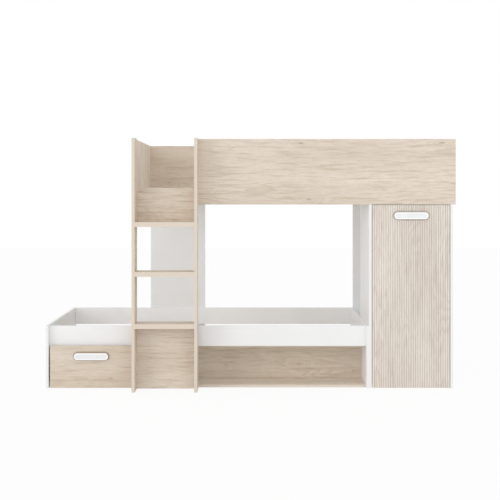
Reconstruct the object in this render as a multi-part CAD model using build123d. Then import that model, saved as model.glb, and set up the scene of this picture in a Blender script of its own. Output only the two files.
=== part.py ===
from build123d import *
import math
import os

# Bunk bed made of coated boards: a lower bed over a drawer and an open niche, an upper bed set
# sideways over a wardrobe, and a ladder at its open end. The front faces -Y and +Z is up. The
# origin is at the centre of the whole bed, on the floor. All sizes are in millimetres.

# Beds
BOARD = 16.0                  # thickness of the boards
ROOM_LENGTH = 1910.0          # inside length of each bed
ROOM_WIDTH = 910.0            # inside width of the lower bed
BED_OFFSET = 520.0            # the upper bed sits this far to the right of the lower one
FRONT_SETBACK = 30.0          # lower front rail behind the front edges of its end panels
LOWER_HEIGHT = 376.0          # top of the lower bed's end panels and rear rail
FRONT_RAIL_HEIGHT = 122.0
FRONT_RAIL_DROP = 4.0         # top of the lower front rail below the end panels
REAR_RAIL_HEIGHT = 114.0
UPPER_BOTTOM = 1104.0         # underside of the upper bed, on top of the wardrobe
UPPER_HEIGHT = 1498.0         # top of the guards, the upper end panels and the ladder
SPINE_HEIGHT = 100.0          # front rail of the upper bed, behind the guard
EDGE_ROUND = 0.8              # rounding of the boards' edges

# Rear supports
SUPPORT_WIDTH = 378.0
SUPPORT_LAP = 0.5             # part of the rear guard's height that the supports reach up

# Slatted bases
SLAT_COUNT = 13
SLAT_WIDTH = 70.0
SLAT_THICKNESS = 8.0
SLAT_END_GAP = 3.0            # between a slat's end and the boards of the bed
LOWER_SLAT_DROP = 8.0         # lower slats' undersides below the front rail
ANGLE_LEG = 32.0
ANGLE_SHEET = 1.5
LEDGER_WIDTH = 20.0
LEDGER_HEIGHT = 30.0
LOWER_LEDGER_HEIGHT = 60.0    # rear ledger of the lower bed, which spans between boards
UPPER_LEDGER_LIFT = 6.0       # ledgers above the underside of the upper bed
LEDGER_SCREWS = 6

# Ladder
LADDER_DEPTH = 134.0
LADDER_CLEAR = 350.0          # between the uprights
LADDER_INSET = 10.0           # left upright in from the upper bed's left end
UPRIGHT = 18.0
TREAD = 28.0
TREAD_TOPS = {"lower": 402.0, "middle": 709.0, "upper": 1002.0}
ENTRY_HEIGHT = 202.0          # low board that one climbs over, above the upper tread
INFILL_LIFT = 2.0             # infill panel above the floor

# Niche
NICHE_DEPTH = 250.0

# Drawer
DRAWER_GAP_LEFT = 9.0         # drawer front to the lower bed's end panel
DRAWER_GAP_RIGHT = 9.0        # drawer front to the plane of the left upright
DRAWER_LIFT = 3.0             # drawer front above the floor
DRAWER_LAP = 6.0              # drawer front over the lower edge of the rail
DRAWER_SIDE = 12.0
DRAWER_LENGTH = 520.0         # box behind its front
DRAWER_HEIGHT = 150.0
DRAWER_BOX_LIFT = 24.0        # box above the drawer front's lower edge
DRAWER_BOTTOM = 4.0
BOTTOM_LIFT = 8.0             # groove above the lower edge of the drawer's sides
GROOVE = 5.0                  # depth of the grooves for thin panels
PANEL_PLAY = 0.2              # thin panel in its groove, on each face
RUNNER_WIDTH = 12.7           # from the wall of the bay to the drawer's side
RUNNER_HEIGHT = 38.0
RUNNER_LENGTH = 500.0
RUNNER_SHEET = 1.5
RUNNER_PLAY = 0.35            # between the fixed channel and the sliding one
RUNNER_SETBACK = 20.0         # runner's front end behind the front of the bed
RUNNER_SCREWS = 3

# Wardrobe
WARDROBE_DEPTH = 500.0
DOOR_THICKNESS = 16.0
DOOR_GAP = 3.0                # around the inset door
RIB_COUNT = 34                # upright ribs on the door's face
RIB_RISE = 1.4                # height of a rib's crown over its edges
RIB_GROOVE = 1.6              # width of the groove between two ribs
RIB_GROOVE_DEPTH = 1.2        # groove below the edges of the ribs
WARDROBE_FLOOR_LIFT = 20.0
WARDROBE_BACK = 3.0
BACK_INSET = 17.0             # thin back in from the sides' rear edges
SHELF_TOP = 890.0
SHELF_SETBACK = 25.0          # shelf behind the wardrobe's floor and top
SHELF_BACK_GAP = 3.0          # shelf to the thin back
SHELF_SIDE_GAP = 0.5
PIN_RADIUS = 2.5
PIN_DEPTH = 8.0               # shelf pin inside the side panel
PIN_PROUD = 8.0               # shelf pin under the shelf
PIN_INSET = 40.0              # shelf pins from the shelf's front and rear edges
RAIL_RADIUS = 12.5
RAIL_WALL = 1.2
RAIL_DROP = 60.0              # centre of the hanging rail below the shelf
SOCKET_PLAY = 0.2
SOCKET_WALL = 2.0
SOCKET_DEPTH = 14.0
SOCKET_FLANGE = 24.0          # radius of the socket's flange

# Door hinges: a pin held by a cup in the door turns in the eye of an arm on the side panel
HINGE_COUNT = 3
HINGE_END = 107.0             # end hinges from the door's lower and upper edges
HINGE_INSET = 12.0            # pin from the door's edge
HINGE_PIN_RADIUS = 2.0
HINGE_PLAY = 0.05             # pin in its eye, on the radius
EYE_RADIUS = 3.8
ARM_HEIGHT = 18.0
ARM_SHEET = 2.4
ARM_REACH = 22.0              # from the pin back to the arm's bend
LUG = 2.5                     # thickness of the cup's lugs
LUG_GAP = 0.4                 # between a lug and the arm
CUP_WEB = 3.0                 # upright wall that joins the two lugs
CUP_BACK = 9.0                # from the pin to the wall's inner side
PLATE_LENGTH = 44.0
PLATE_HEIGHT = 40.0
POCKET_PLAY = 0.3
EYE_PLAY = 0.2                # in front of the eye, in the door's pocket
SWING_PLAY = 0.6              # behind the door's hinged edge while it swings in

# Handles
HANDLE_LENGTH = 205.0
HANDLE_HEIGHT = 42.0
HANDLE_HEAD = 6.0             # thickness of the pill-shaped head
HANDLE_FOOT = 9.0             # height of the smaller foot under it, where fingers reach in
HANDLE_LIP = 8.0              # head over the foot, all round
HANDLE_RIM = 8.0
HANDLE_DISH = 1.2
HANDLE_ROUND = 2.0
HANDLE_SCREW_SPACING = 128.0
HANDLE_DROP = 64.0            # handle's centre below the top of the door or the drawer front

# Fixings
CAM_RADIUS = 7.5
CAM_BITE = 4.5                # cam past the middle of its board
CAM_SETBACK = 34.0            # cam's centre from the end of its board
CAM_BOLT_RADIUS = 3.0
CAM_BOLT_GRIP = 10.0          # cam bolt inside the neighbouring board
DOWEL_RADIUS = 4.0
DOWEL_GRIP = 10.0
BOLT_RADIUS = 3.0
BOLT_HEAD_RADIUS = 7.5
BOLT_HEAD = 2.0
SLEEVE_RADIUS = 4.2
SLEEVE_SHARE = 0.6            # part of the grip that the sleeve nut fills
SCREW_RADIUS = 2.0
SCREW_HEAD_RADIUS = 4.0
SCREW_HEAD = 1.5
SCREW_TIP_GAP = 4.0           # board left beyond a screw's tip
FIX_PLAY = 0.05               # fixing in its hole, on the radius
FIX_EDGE = 30.0               # fixings from the edges of the boards
BRACKET_LEG = 36.0
BRACKET_SHEET = 2.0
BRACKET_WIDTH = 30.0
LEG_SHARE = 0.6               # screws along an angle's leg, as a part of the leg

# Planes of the boards, from left to right
BED_LENGTH = ROOM_LENGTH + 2 * BOARD
LOWER_LEFT = -(BED_LENGTH + BED_OFFSET) / 2
LOWER_RIGHT = LOWER_LEFT + BED_LENGTH
UPPER_LEFT = LOWER_LEFT + BED_OFFSET
UPPER_RIGHT = UPPER_LEFT + BED_LENGTH
LADDER_LEFT = UPPER_LEFT + LADDER_INSET
CLIMB_LEFT = LADDER_LEFT + UPRIGHT
CLIMB_RIGHT = CLIMB_LEFT + LADDER_CLEAR
LADDER_RIGHT = CLIMB_RIGHT + UPRIGHT
BAY_LEFT = LOWER_LEFT + BOARD
BAY_RIGHT = LADDER_LEFT
NICHE_LEFT = CLIMB_RIGHT
NICHE_RIGHT = LOWER_RIGHT - BOARD
WARDROBE_RIGHT = UPPER_RIGHT - BOARD
CLOSET_LEFT = LOWER_RIGHT + BOARD
CLOSET_RIGHT = WARDROBE_RIGHT - BOARD

# Planes from front to back
BED_DEPTH = FRONT_SETBACK + ROOM_WIDTH + 3 * BOARD
LADDER_FRONT = -(LADDER_DEPTH + BED_DEPTH) / 2
FRONT = LADDER_FRONT + LADDER_DEPTH
RAIL_FRONT = FRONT + FRONT_SETBACK
ROOM_FRONT = RAIL_FRONT + BOARD
ROOM_REAR = ROOM_FRONT + ROOM_WIDTH
REAR = ROOM_REAR + BOARD
SUPPORT_REAR = REAR + BOARD
SPINE_FRONT = FRONT + BOARD
SPINE_REAR = SPINE_FRONT + BOARD
NICHE_BACK = RAIL_FRONT + NICHE_DEPTH
DRAWER_BOX_FRONT = FRONT + BOARD
DRAWER_BOX_REAR = DRAWER_BOX_FRONT + DRAWER_LENGTH
HINGE_AXIS_Y = FRONT + DOOR_THICKNESS / 2
POCKET_FRONT = HINGE_AXIS_Y - EYE_RADIUS - EYE_PLAY
DOOR_SWING = math.hypot(HINGE_INSET, DOOR_THICKNESS / 2)  # from the pin to the door's corners
CLOSET_FRONT = HINGE_AXIS_Y + DOOR_SWING + SWING_PLAY
CLOSET_BACK = FRONT + WARDROBE_DEPTH - BACK_INSET - WARDROBE_BACK

# Levels
RAIL_TOP = LOWER_HEIGHT - FRONT_RAIL_DROP
RAIL_BOTTOM = RAIL_TOP - FRONT_RAIL_HEIGHT
REAR_RAIL_BOTTOM = LOWER_HEIGHT - REAR_RAIL_HEIGHT
LOWER_SLAT_LEVEL = RAIL_BOTTOM - LOWER_SLAT_DROP
ANGLE_BOTTOM = LOWER_SLAT_LEVEL - ANGLE_SHEET
UPPER_SLAT_LEVEL = UPPER_BOTTOM + UPPER_LEDGER_LIFT + LEDGER_HEIGHT
SPINE_TOP = UPPER_BOTTOM + SPINE_HEIGHT
ENTRY_BOTTOM = TREAD_TOPS["upper"]
ENTRY_TOP = ENTRY_BOTTOM + ENTRY_HEIGHT
INFILL_TOP = TREAD_TOPS["lower"] - TREAD
DRAWER_TOP = RAIL_BOTTOM + DRAWER_LAP
DRAWER_BOX_BOTTOM = DRAWER_LIFT + DRAWER_BOX_LIFT
DRAWER_BOX_TOP = DRAWER_BOX_BOTTOM + DRAWER_HEIGHT
DOOR_TOP = UPPER_BOTTOM - DOOR_GAP
SHELF_BOTTOM = SHELF_TOP - BOARD

SHEET_SCREW = BRACKET_SHEET + BOARD - SCREW_TIP_GAP       # length of the brackets' screws

X, Y, Z = (1, 0, 0), (0, 1, 0), (0, 0, 1)

nodes = {}                    # name of each sub-part and its solids
fixings = []                  # sub-part, piece and hole of each fixing


def back(direction):
    return tuple(-part for part in direction)


def shift(point, *steps):
    """The point moved by each (direction, distance) in turn."""
    for direction, distance in steps:
        point = tuple(p + distance * d for p, d in zip(point, direction))
    return point


def box(x0, x1, y0, y1, z0, z1):
    return Pos(x0, y0, z0) * Box(x1 - x0, y1 - y0, z1 - z0, align=(Align.MIN,) * 3)


def board(x0, x1, y0, y1, z0, z1):
    piece = box(x0, x1, y0, y1, z0, z1)
    return fillet(piece.edges(), min(EDGE_ROUND, (y1 - y0) / 4, (x1 - x0) / 4, (z1 - z0) / 4))


def rod(start, direction, radius, length):
    seat = Plane(origin=start, z_dir=direction)
    return seat * Cylinder(radius, length, align=(Align.CENTER, Align.CENTER, Align.MIN))


def add(name, *pieces):
    nodes.setdefault(name, []).extend(pieces)


def fix(name, piece, hole):
    fixings.append((name, piece, hole))


def cam_joint(seam, into, face, thickness, prefix=""):
    """A cam bolt across a seam between two boards, drawn tight by a round cam.

    seam is a point in the middle of the board's end, into points at the neighbouring board,
    and face points out of the board's side that shows the cam.
    """
    tip = shift(seam, (into, CAM_BOLT_GRIP))
    length = CAM_BOLT_GRIP + CAM_SETBACK - CAM_RADIUS
    hole = rod(tip, back(into), CAM_BOLT_RADIUS + FIX_PLAY, length)
    fix(prefix + "cam_bolts", rod(tip, back(into), CAM_BOLT_RADIUS, length), hole)
    mouth = shift(seam, (into, -CAM_SETBACK), (face, thickness / 2))
    depth = thickness / 2 + CAM_BITE
    cam = rod(mouth, back(face), CAM_RADIUS, depth)
    fix(prefix + "cam_locks", cam, rod(mouth, back(face), CAM_RADIUS + FIX_PLAY, depth))


def dowel(seam, into, prefix=""):
    start = shift(seam, (into, DOWEL_GRIP))
    length = 3 * DOWEL_GRIP
    hole = rod(start, back(into), DOWEL_RADIUS + FIX_PLAY, length)
    fix(prefix + "dowels", rod(start, back(into), DOWEL_RADIUS, length), hole)


def screw(name, start, direction, length):
    """A screw whose flat head lies flush at start."""
    head = rod(start, direction, SCREW_HEAD_RADIUS, SCREW_HEAD)
    shank = rod(start, direction, SCREW_RADIUS, length)
    head_hole = rod(start, direction, SCREW_HEAD_RADIUS + FIX_PLAY, SCREW_HEAD)
    shank_hole = rod(start, direction, SCREW_RADIUS + FIX_PLAY, length)
    fix(name, head + shank, head_hole + shank_hole)


def connector(start, direction, grip):
    """A bolt and its sleeve nut through two boards, with both heads flush."""
    end = shift(start, (direction, grip))
    sleeve_length = SLEEVE_SHARE * grip
    bolt_length = grip - 2 * BOLT_HEAD
    bolt = rod(start, direction, BOLT_HEAD_RADIUS, BOLT_HEAD)
    bolt += rod(start, direction, BOLT_RADIUS, bolt_length)
    bore_start = shift(end, (direction, -BOLT_HEAD))
    bore = rod(bore_start, back(direction), BOLT_RADIUS + FIX_PLAY, sleeve_length)
    sleeve = rod(end, back(direction), BOLT_HEAD_RADIUS, BOLT_HEAD)
    sleeve += rod(end, back(direction), SLEEVE_RADIUS, sleeve_length)
    sleeve -= bore
    head_radius = BOLT_HEAD_RADIUS + FIX_PLAY
    bolt_hole = rod(start, direction, head_radius, BOLT_HEAD)
    bolt_hole += rod(start, direction, BOLT_RADIUS + FIX_PLAY, bolt_length)
    sleeve_hole = rod(end, back(direction), head_radius, BOLT_HEAD)
    sleeve_hole += rod(end, back(direction), SLEEVE_RADIUS + FIX_PLAY, sleeve_length)
    fix("connector_bolts", bolt, bolt_hole)
    fix("connector_sleeves", sleeve, sleeve_hole)


def span(corner, *legs):
    """A block from its corner along three (direction, length) legs."""
    far = shift(corner, *legs)
    low = [min(a, b) for a, b in zip(corner, far)]
    high = [max(a, b) for a, b in zip(corner, far)]
    return box(low[0], high[0], low[1], high[1], low[2], high[2])


def bracket(corner, leg_a, leg_b):
    """A steel angle in the upright inside corner of two boards, with one screw in each leg."""
    edge = shift(corner, (Z, -BRACKET_WIDTH / 2))
    flat_a = span(edge, (leg_a, BRACKET_LEG), (leg_b, BRACKET_SHEET), (Z, BRACKET_WIDTH))
    flat_b = span(edge, (leg_a, BRACKET_SHEET), (leg_b, BRACKET_LEG), (Z, BRACKET_WIDTH))
    add("angle_brackets", flat_a + flat_b)
    reach = LEG_SHARE * BRACKET_LEG
    on_a = shift(corner, (leg_a, reach), (leg_b, BRACKET_SHEET))
    on_b = shift(corner, (leg_b, reach), (leg_a, BRACKET_SHEET))
    screw("wood_screws", on_a, back(leg_b), SHEET_SCREW)
    screw("wood_screws", on_b, back(leg_a), SHEET_SCREW)


def spread(start, end, count):
    """Evenly spaced values from start to end."""
    return [start + (end - start) * i / (count - 1) for i in range(count)]


# Places along X of the screws through the upper ledgers
UPPER_SCREWS = spread(UPPER_LEFT + BOARD + 2 * FIX_EDGE, WARDROBE_RIGHT - 2 * FIX_EDGE, LEDGER_SCREWS)


def rail_ends(left, right, y, levels, face):
    """Cam joints and dowels at both ends of a rail between two end panels."""
    for level in levels:
        cam_joint((left, y, level), back(X), face, BOARD)
        cam_joint((right, y, level), X, face, BOARD)
    middle = sum(levels) / len(levels)
    dowel((left, y, middle), back(X))
    dowel((right, y, middle), X)


def lower_bed():
    left, right = BAY_LEFT, NICHE_RIGHT
    add("lower_end_left", board(LOWER_LEFT, left, FRONT, REAR, 0, LOWER_HEIGHT))
    add("lower_end_right", board(right, LOWER_RIGHT, FRONT, REAR, 0, LOWER_HEIGHT))
    add("lower_front_rail", board(left, right, RAIL_FRONT, ROOM_FRONT, RAIL_BOTTOM, RAIL_TOP))
    add("lower_rear_rail", board(left, right, ROOM_REAR, REAR, REAR_RAIL_BOTTOM, LOWER_HEIGHT))
    front_levels = (RAIL_BOTTOM + FIX_EDGE, RAIL_TOP - FIX_EDGE)
    rear_levels = (REAR_RAIL_BOTTOM + FIX_EDGE, LOWER_HEIGHT - FIX_EDGE)
    rail_ends(left, right, (RAIL_FRONT + ROOM_FRONT) / 2, front_levels, Y)
    rail_ends(left, right, (ROOM_REAR + REAR) / 2, rear_levels, Y)


def lower_angle():
    """The two legs of the steel angle that hangs from the front rail."""
    left, right, front = BAY_LEFT, NICHE_RIGHT, ROOM_FRONT
    foot = box(left, right, front, front + ANGLE_LEG, ANGLE_BOTTOM, LOWER_SLAT_LEVEL)
    return foot, box(left, right, front, front + ANGLE_SHEET, ANGLE_BOTTOM, ANGLE_BOTTOM + ANGLE_LEG)


def lower_ledger_box():
    front, low = ROOM_REAR - LEDGER_WIDTH, LOWER_SLAT_LEVEL - LOWER_LEDGER_HEIGHT
    return BAY_LEFT, NICHE_RIGHT, front, ROOM_REAR, low, LOWER_SLAT_LEVEL


def lower_base():
    """Steel angle on the front rail, wooden ledger at the rear, and the slats across them."""
    left, right = BAY_LEFT, NICHE_RIGHT
    foot, wall = lower_angle()
    add("lower_slat_angle", foot + wall)
    screw_z = (RAIL_BOTTOM + ANGLE_BOTTOM + ANGLE_LEG) / 2
    for x in spread(left + 2 * FIX_EDGE, right - 2 * FIX_EDGE, LEDGER_SCREWS):
        screw("wood_screws", (x, ROOM_FRONT + ANGLE_SHEET, screw_z), back(Y), SHEET_SCREW)
    add("lower_rear_ledger", board(*lower_ledger_box()))
    middle = ROOM_REAR - LEDGER_WIDTH / 2
    for share in (1 / 4, 3 / 4):
        level = LOWER_SLAT_LEVEL - share * LOWER_LEDGER_HEIGHT
        dowel((left, middle, level), back(X))
        dowel((right, middle, level), X)
    slats("lower", left, ROOM_FRONT + ANGLE_SHEET, ROOM_REAR, LOWER_SLAT_LEVEL)


def slats(bed, left, front, rear, level):
    gap = (ROOM_LENGTH - SLAT_COUNT * SLAT_WIDTH) / (SLAT_COUNT + 1)
    for i in range(SLAT_COUNT):
        x = left + gap + i * (SLAT_WIDTH + gap)
        top = level + SLAT_THICKNESS
        slat = board(x, x + SLAT_WIDTH, front + SLAT_END_GAP, rear - SLAT_END_GAP, level, top)
        add(bed + "_slats", slat)
        for y in (front + LEDGER_WIDTH / 2, rear - LEDGER_WIDTH / 2):
            over_angle = bed == "lower" and y < (front + rear) / 2
            length = SLAT_THICKNESS + (ANGLE_SHEET if over_angle else LEDGER_HEIGHT / 2)
            screw("wood_screws", (x + SLAT_WIDTH / 2, y, top), back(Z), length)


def dividers():
    """Upright boards under the lower bed, on both sides of the ladder."""
    above = box(LOWER_LEFT, LOWER_RIGHT, ROOM_FRONT, ROOM_REAR, LOWER_SLAT_LEVEL, RAIL_BOTTOM)
    for name, left in (("drawer_divider", BAY_RIGHT), ("niche_divider", NICHE_LEFT - BOARD)):
        middle = left + BOARD / 2
        panel = board(left, left + BOARD, FRONT, ROOM_REAR, 0, RAIL_BOTTOM)
        add(name, panel - [above, box(*lower_ledger_box()), *lower_angle()])
        dowel((middle, (RAIL_FRONT + ROOM_FRONT) / 2, RAIL_BOTTOM), Z)
        side = X if name == "drawer_divider" else back(X)
        corner = (left + BOARD if name == "drawer_divider" else left, FRONT, 0)
        for level in (FIX_EDGE, RAIL_BOTTOM - FIX_EDGE):
            bracket(shift(corner, (Z, level)), side, Y)


def niche():
    front, rear = RAIL_FRONT, NICHE_BACK + BOARD
    add("niche_floor", board(NICHE_LEFT, NICHE_RIGHT, front, rear, 0, BOARD))
    add("niche_back", board(NICHE_LEFT, NICHE_RIGHT, NICHE_BACK, rear, BOARD, LOWER_SLAT_LEVEL))
    for y in (front + 2 * FIX_EDGE, rear - 2 * FIX_EDGE):
        cam_joint((NICHE_LEFT, y, BOARD / 2), back(X), Z, BOARD)
        cam_joint((NICHE_RIGHT, y, BOARD / 2), X, Z, BOARD)
    middle = NICHE_BACK + BOARD / 2
    for level in (BOARD + 2 * FIX_EDGE, RAIL_BOTTOM - FIX_EDGE):
        cam_joint((NICHE_LEFT, middle, level), back(X), Y, BOARD)
        cam_joint((NICHE_RIGHT, middle, level), X, Y, BOARD)
    for x in spread(NICHE_LEFT + 4 * FIX_EDGE, NICHE_RIGHT - 4 * FIX_EDGE, 3):
        dowel((x, middle, BOARD), back(Z))


def ladder():
    add("ladder_upright_left", board(LADDER_LEFT, CLIMB_LEFT, LADDER_FRONT, FRONT, 0, UPPER_HEIGHT))
    add("ladder_upright_right", board(CLIMB_RIGHT, LADDER_RIGHT, LADDER_FRONT, FRONT, 0, UPPER_HEIGHT))
    for name, top in TREAD_TOPS.items():
        add("tread_" + name, board(CLIMB_LEFT, CLIMB_RIGHT, LADDER_FRONT, FRONT, top - TREAD, top))
        middle = top - TREAD / 2
        centre = (LADDER_FRONT + FRONT) / 2
        for seam, into in ((CLIMB_LEFT, back(X)), (CLIMB_RIGHT, X)):
            cam_joint((seam, centre, middle), into, back(Z), TREAD)
            dowel((seam, LADDER_FRONT + FIX_EDGE, middle), into)
            dowel((seam, FRONT - FIX_EDGE, middle), into)
    add("ladder_infill", board(CLIMB_LEFT, CLIMB_RIGHT, FRONT - BOARD, FRONT, INFILL_LIFT, INFILL_TOP))
    for level in (INFILL_LIFT + 2 * FIX_EDGE, INFILL_TOP - 2 * FIX_EDGE):
        cam_joint((CLIMB_LEFT, FRONT - BOARD / 2, level), back(X), Y, BOARD)
        cam_joint((CLIMB_RIGHT, FRONT - BOARD / 2, level), X, Y, BOARD)


def upper_bed():
    left, right = UPPER_LEFT + BOARD, WARDROBE_RIGHT
    low, high = UPPER_BOTTOM, UPPER_HEIGHT
    add("upper_end_left", board(UPPER_LEFT, left, SPINE_FRONT, SUPPORT_REAR, low, high))
    add("upper_end_right", board(right, UPPER_RIGHT, SPINE_FRONT, SUPPORT_REAR, low, high))
    add("upper_front_rail", board(left, right, SPINE_FRONT, SPINE_REAR, low, SPINE_TOP))
    add("upper_front_guard", board(CLIMB_RIGHT, UPPER_RIGHT, FRONT, SPINE_FRONT, low, high))
    add("entry_board", board(UPPER_LEFT, CLIMB_RIGHT, FRONT, SPINE_FRONT, ENTRY_BOTTOM, ENTRY_TOP))
    add("upper_rear_guard", board(left, right, ROOM_REAR, REAR, low, high))
    rail_ends(left, right, (SPINE_FRONT + SPINE_REAR) / 2, (low + FIX_EDGE, SPINE_TOP - FIX_EDGE), Y)
    rail_ends(left, right, (ROOM_REAR + REAR) / 2, (low + 2 * FIX_EDGE, high - 2 * FIX_EDGE), Y)


def upper_base():
    left, right = UPPER_LEFT + BOARD, WARDROBE_RIGHT
    low = UPPER_SLAT_LEVEL - LEDGER_HEIGHT
    front_ledger = (SPINE_REAR, SPINE_REAR + LEDGER_WIDTH)
    rear_ledger = (ROOM_REAR - LEDGER_WIDTH, ROOM_REAR)
    for front, rear in (front_ledger, rear_ledger):
        add("upper_slat_ledgers", board(left, right, front, rear, low, UPPER_SLAT_LEVEL))
    length = LEDGER_WIDTH + BOARD - SCREW_TIP_GAP
    level = low + LEDGER_HEIGHT / 3
    for x in UPPER_SCREWS:
        screw("wood_screws", (x, SPINE_REAR + LEDGER_WIDTH, level), back(Y), length)
        screw("wood_screws", (x, ROOM_REAR - LEDGER_WIDTH, level), Y, length)
    slats("upper", left, SPINE_REAR, ROOM_REAR, UPPER_SLAT_LEVEL)


def guard_screws():
    """Screws from behind that hold the guard, the entry board and the ladder's uprights."""
    level = SPINE_TOP - FIX_EDGE / 2
    for x in spread(LADDER_RIGHT + 2 * FIX_EDGE, WARDROBE_RIGHT - 2 * FIX_EDGE, LEDGER_SCREWS):
        screw("wood_screws", (x, SPINE_REAR, level), back(Y), 2 * BOARD - SCREW_TIP_GAP)
    for x in spread(CLIMB_LEFT + 2 * FIX_EDGE, CLIMB_RIGHT - 2 * FIX_EDGE, 3):
        screw("wood_screws", (x, SPINE_REAR, level), back(Y), 2 * BOARD - SCREW_TIP_GAP)
    grip = 3 * BOARD
    for z in spread(ENTRY_BOTTOM + FIX_EDGE, UPPER_BOTTOM - FIX_EDGE, 2):
        screw("wood_screws", (LADDER_LEFT + UPRIGHT / 2, SPINE_FRONT, z), back(Y), grip)
    for z in spread(SPINE_TOP + FIX_EDGE, UPPER_HEIGHT - 2 * FIX_EDGE, 3):
        screw("wood_screws", (CLIMB_RIGHT + UPRIGHT / 2, SPINE_FRONT, z), back(Y), grip)
    bracket((WARDROBE_RIGHT, SPINE_FRONT, (SPINE_TOP + UPPER_HEIGHT) / 2), back(X), Y)


def rear_supports():
    top = UPPER_BOTTOM + SUPPORT_LAP * (UPPER_HEIGHT - UPPER_BOTTOM)
    guard_levels = (UPPER_BOTTOM + 2 * FIX_EDGE, top - 2 * FIX_EDGE)
    rail_levels = (REAR_RAIL_BOTTOM + FIX_EDGE, LOWER_HEIGHT - FIX_EDGE)
    for name, left in (("rear_support_left", UPPER_LEFT + BOARD), ("rear_support_right", LOWER_RIGHT)):
        right = left + SUPPORT_WIDTH
        add(name, board(left, right, REAR, SUPPORT_REAR, 0, top))
        for x in (left + 2 * FIX_EDGE, right - 2 * FIX_EDGE):
            for z in guard_levels:
                screw("wood_screws", (x, SUPPORT_REAR, z), back(Y), 2 * BOARD - SCREW_TIP_GAP)
            if name == "rear_support_left":
                for z in rail_levels:
                    screw("wood_screws", (x, SUPPORT_REAR, z), back(Y), 2 * BOARD - SCREW_TIP_GAP)
    for z in spread(2 * FIX_EDGE, LOWER_HEIGHT - 2 * FIX_EDGE, 2):
        bracket((LOWER_RIGHT, REAR, z), X, back(Y))


def wardrobe():
    top, rear = UPPER_BOTTOM, FRONT + WARDROBE_DEPTH
    groove = box(CLOSET_LEFT - GROOVE, CLOSET_RIGHT + GROOVE, CLOSET_BACK - PANEL_PLAY,
                 CLOSET_BACK + WARDROBE_BACK + PANEL_PLAY, 0, top)
    add("wardrobe_side_left", board(LOWER_RIGHT, CLOSET_LEFT, FRONT, rear, 0, top) - groove)
    add("wardrobe_side_right", board(CLOSET_RIGHT, WARDROBE_RIGHT, FRONT, rear, 0, top) - groove)
    floor = WARDROBE_FLOOR_LIFT
    rear = CLOSET_BACK - PANEL_PLAY
    add("wardrobe_floor", board(CLOSET_LEFT, CLOSET_RIGHT, CLOSET_FRONT, rear, floor, floor + BOARD))
    add("wardrobe_top", board(CLOSET_LEFT, CLOSET_RIGHT, CLOSET_FRONT, rear, top - BOARD, top))
    for y in (CLOSET_FRONT + 2 * FIX_EDGE, CLOSET_BACK - 2 * FIX_EDGE):
        for level in (floor + BOARD / 2, top - BOARD / 2):
            face = Z if level < top / 2 else back(Z)
            cam_joint((CLOSET_LEFT, y, level), back(X), face, BOARD)
            cam_joint((CLOSET_RIGHT, y, level), X, face, BOARD)
    tongue = GROOVE - PANEL_PLAY
    add("wardrobe_back", box(CLOSET_LEFT - tongue, CLOSET_RIGHT + tongue, CLOSET_BACK,
                             CLOSET_BACK + WARDROBE_BACK, floor, top))
    for y in (ROOM_FRONT + 2 * FIX_EDGE, FRONT + WARDROBE_DEPTH - 2 * FIX_EDGE):
        connector((NICHE_RIGHT, y, LOWER_HEIGHT - FIX_EDGE), X, 2 * BOARD)
    beside, last = UPPER_SCREWS[-2:]
    for share in (1 / 4, 3 / 4):
        x = beside + share * (last - beside)
        screw("wood_screws", (x, SPINE_FRONT + BOARD / 2, top - BOARD), Z, 3 * BOARD)


def wardrobe_inside():
    front, rear = CLOSET_FRONT + SHELF_SETBACK, CLOSET_BACK - SHELF_BACK_GAP
    left, right = CLOSET_LEFT + SHELF_SIDE_GAP, CLOSET_RIGHT - SHELF_SIDE_GAP
    add("wardrobe_shelf", board(left, right, front, rear, SHELF_BOTTOM, SHELF_TOP))
    for y in (front + PIN_INSET, rear - PIN_INSET):
        for wall, inwards in ((CLOSET_LEFT, X), (CLOSET_RIGHT, back(X))):
            start = shift((wall, y, SHELF_BOTTOM - PIN_RADIUS), (inwards, -PIN_DEPTH))
            length = PIN_DEPTH + PIN_PROUD
            fix("shelf_pins", rod(start, inwards, PIN_RADIUS, length),
                rod(start, inwards, PIN_RADIUS + FIX_PLAY, PIN_DEPTH))
    centre_y, centre_z = (front + rear) / 2, SHELF_BOTTOM - RAIL_DROP
    start, length = CLOSET_LEFT + SOCKET_WALL, CLOSET_RIGHT - CLOSET_LEFT - 2 * SOCKET_WALL
    tube = rod((start, centre_y, centre_z), X, RAIL_RADIUS, length)
    tube -= rod((start, centre_y, centre_z), X, RAIL_RADIUS - RAIL_WALL, length)
    add("hanging_rail", tube)
    for wall, inwards in ((CLOSET_LEFT, X), (CLOSET_RIGHT, back(X))):
        seat = (wall, centre_y, centre_z)
        bore = RAIL_RADIUS + SOCKET_PLAY
        socket = rod(seat, inwards, SOCKET_FLANGE, SOCKET_WALL)
        socket += rod(seat, inwards, bore + SOCKET_WALL, SOCKET_DEPTH)
        socket -= rod(shift(seat, (inwards, SOCKET_WALL)), inwards, bore, SOCKET_DEPTH)
        add("rail_sockets", socket)
        for rise in (-1, 1):
            middle = (bore + SOCKET_WALL + SOCKET_FLANGE) / 2
            point = shift(seat, (inwards, SOCKET_WALL), (Z, rise * middle))
            screw("wood_screws", point, back(inwards), SOCKET_WALL + BOARD - SCREW_TIP_GAP)


def pill(plane, length, height, thickness):
    return extrude(plane * SlotOverall(length, height), amount=thickness)


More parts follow.
